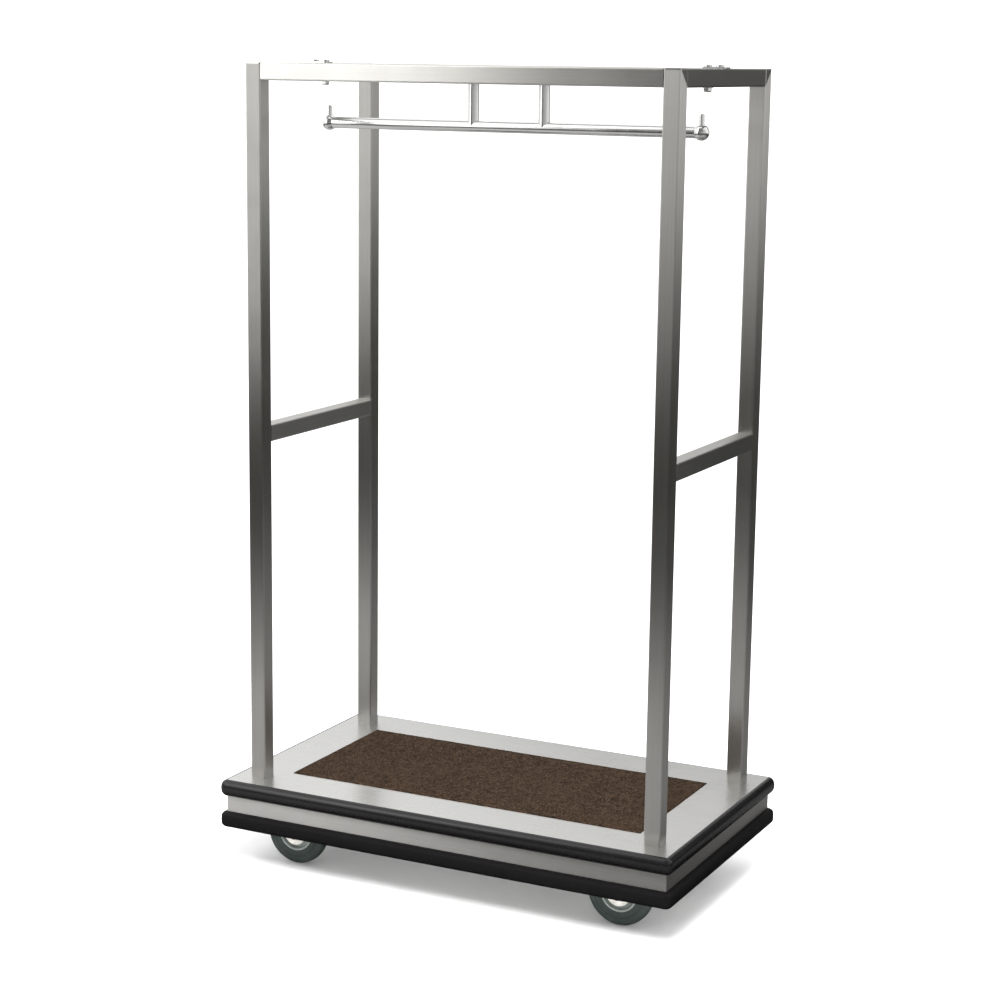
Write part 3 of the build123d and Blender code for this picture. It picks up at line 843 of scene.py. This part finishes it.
    def floor_glow(self, radius):
        """Painted shadow of the cart under it, bright round it, and dark again far away and behind on
        the right.
        """
        finish, colour = self.glowing("glow_floor", 1.0)
        # The darkest stops near the middle paint the cart's shadow into the floor that the metal
        # reflects.
        shadow_and_falloff = finish.ramp(
            self.reach(finish, radius, 0.6),
            (0.0, 0.02), (0.13, 0.02), (0.19, 0.46), (0.24, 0.66), (0.33, 0.70), (0.42, 0.70),
            (0.54, 0.60), (0.66, 0.42), (0.74, 0.24), (0.88, 0.04),
        )
        shade = finish.ramp(
            self.bearing(finish),
            (0.0, 1.0), (0.15, 1.0), (0.20, 0.82), (0.45, 0.62), (0.55, 0.36), (0.72, 0.34),
            (0.78, 0.75), (1.0, 1.0),
        )
        finish.link(finish.mix(1.0, shadow_and_falloff, shade, "MULTIPLY"), colour)
        return finish.material

    def wall_glow(self, height):
        """Dark at the foot of the walls, pale at eye level, with a large lamp in front on the left."""
        finish, colour = self.glowing("glow_walls", 4.0)
        parts = finish.add("ShaderNodeSeparateXYZ")
        finish.link(finish.place, parts.inputs["Vector"])
        level = finish.add("ShaderNodeMapRange")
        level.inputs["From Max"].default_value = height
        finish.link(parts.outputs["Z"], level.inputs["Value"])
        rise = level.outputs["Result"]
        bearing = self.bearing(finish)
        eye_level = finish.ramp(
            bearing,
            (0.0, 0.28), (0.12, 0.24), (0.135, 0.60), (0.172, 0.60), (0.182, 0.08), (0.192, 0.02),
            (0.222, 0.02), (0.26, 0.12), (0.40, 0.17), (0.50, 0.24), (0.61, 0.36), (0.64, 0.05),
            (0.66, 0.024), (0.70, 0.024), (0.72, 0.10), (0.75, 0.30), (0.78, 0.18), (0.80, 0.17),
            (0.82, 0.20), (0.84, 0.24), (1.0, 0.34),
        )
        overhead = finish.ramp(
            bearing,
            (0.0, 0.50), (0.12, 0.50), (0.135, 1.0), (0.172, 1.0), (0.184, 0.03), (0.30, 0.03),
            (0.40, 0.10), (0.50, 0.25), (0.61, 0.30), (0.64, 0.05), (0.70, 0.03), (0.72, 0.10),
            (0.75, 0.28), (0.90, 0.28), (1.0, 0.50),
        )
        low = finish.ramp(rise, (0.14, 0.0), (0.165, 0.06), (0.195, 0.52), (0.23, 0.92), (0.36, 1.0))
        high = finish.ramp(
            rise, (0.17, 0.0), (0.24, 0.08), (0.29, 0.28), (0.34, 0.66), (0.40, 0.95), (0.46, 1.0),
        )
        share = finish.ramp(bearing, (0.13, 0.0), (0.19, 1.0), (0.76, 1.0), (0.79, 0.5), (0.84, 0.0))
        glow = finish.mix(finish.mix(share, low, high), (0.010, 0.010, 0.009), eye_level)
        glow = finish.mix(finish.ramp(rise, (0.47, 0.0), (0.58, 1.0)), glow, overhead)
        finish.link(glow, colour)
        return finish.material

    def lamp(self):
        """A broad lamp in front of the cart, to its right."""
        place, aim = Vector((1.25, -3.0, 3.5)), Vector((0, 0, 0.3))
        light = bpy.data.lights.new("key_lamp", "AREA")
        light.shape = "SQUARE"
        light.size = 1.4
        light.energy = 350.0
        lamp = bpy.data.objects.new("key_lamp", light)
        lamp.location = place
        lamp.rotation_euler = (aim - place).to_track_quat("-Z", "Y").to_euler()
        lamp.visible_glossy = False
        bpy.context.scene.collection.objects.link(lamp)

    def camera(self, context, settings):
        """The camera in front of the cart, to its right, looking a little down."""
        data = bpy.data.cameras.new("camera")
        data.sensor_width = 36.0
        data.lens = settings.lens
        camera = bpy.data.objects.new("camera", data)
        turn = Matrix.Rotation(settings.camera_turn, 4, "Z")
        tilt = Matrix.Rotation(math.pi / 2 - settings.camera_dip, 4, "X")
        roll = Matrix.Rotation(settings.camera_roll, 4, "Z")
        camera.matrix_world = Matrix.Translation(settings.camera_place) @ turn @ tilt @ roll
        context.scene.collection.objects.link(camera)
        context.scene.camera = camera


class LUGGAGE_PT_panel(bpy.types.Panel):
    """Shows a button for each step that finishes the cart."""

    bl_idname = "LUGGAGE_PT_panel"
    bl_label = "Luggage Cart"
    bl_space_type = "VIEW_3D"
    bl_region_type = "UI"
    bl_category = "Luggage Cart"

    def draw(self, context):
        for step in STEPS:
            self.layout.operator(step.bl_idname)


STEPS = (
    LUGGAGE_OT_frame_tubes,
    LUGGAGE_OT_hanging_bar,
    LUGGAGE_OT_fasteners,
    LUGGAGE_OT_deck,
    LUGGAGE_OT_carpet,
    LUGGAGE_OT_bumpers,
    LUGGAGE_OT_casters,
    LUGGAGE_OT_stage,
)
SETTINGS = {
    "cart_metal": CartMetalSettings,
    "cart_carpet": CartCarpetSettings,
    "cart_rubber": CartRubberSettings,
    "cart_stage": CartStageSettings,
}


def register():
    for group in SETTINGS.values():
        bpy.utils.register_class(group)
    for kind in (*STEPS, LUGGAGE_PT_panel):
        bpy.utils.register_class(kind)
    for name, group in SETTINGS.items():
        setattr(bpy.types.Scene, name, PointerProperty(type=group))


def unregister():
    for name in SETTINGS:
        delattr(bpy.types.Scene, name)
    for kind in (LUGGAGE_PT_panel, *reversed(STEPS)):
        bpy.utils.unregister_class(kind)
    for group in SETTINGS.values():
        bpy.utils.unregister_class(group)


def main():
    register()
    for step in STEPS:
        group, name = step.bl_idname.split(".")
        getattr(getattr(bpy.ops, group), name)()


if __name__ == "__main__":
    main()
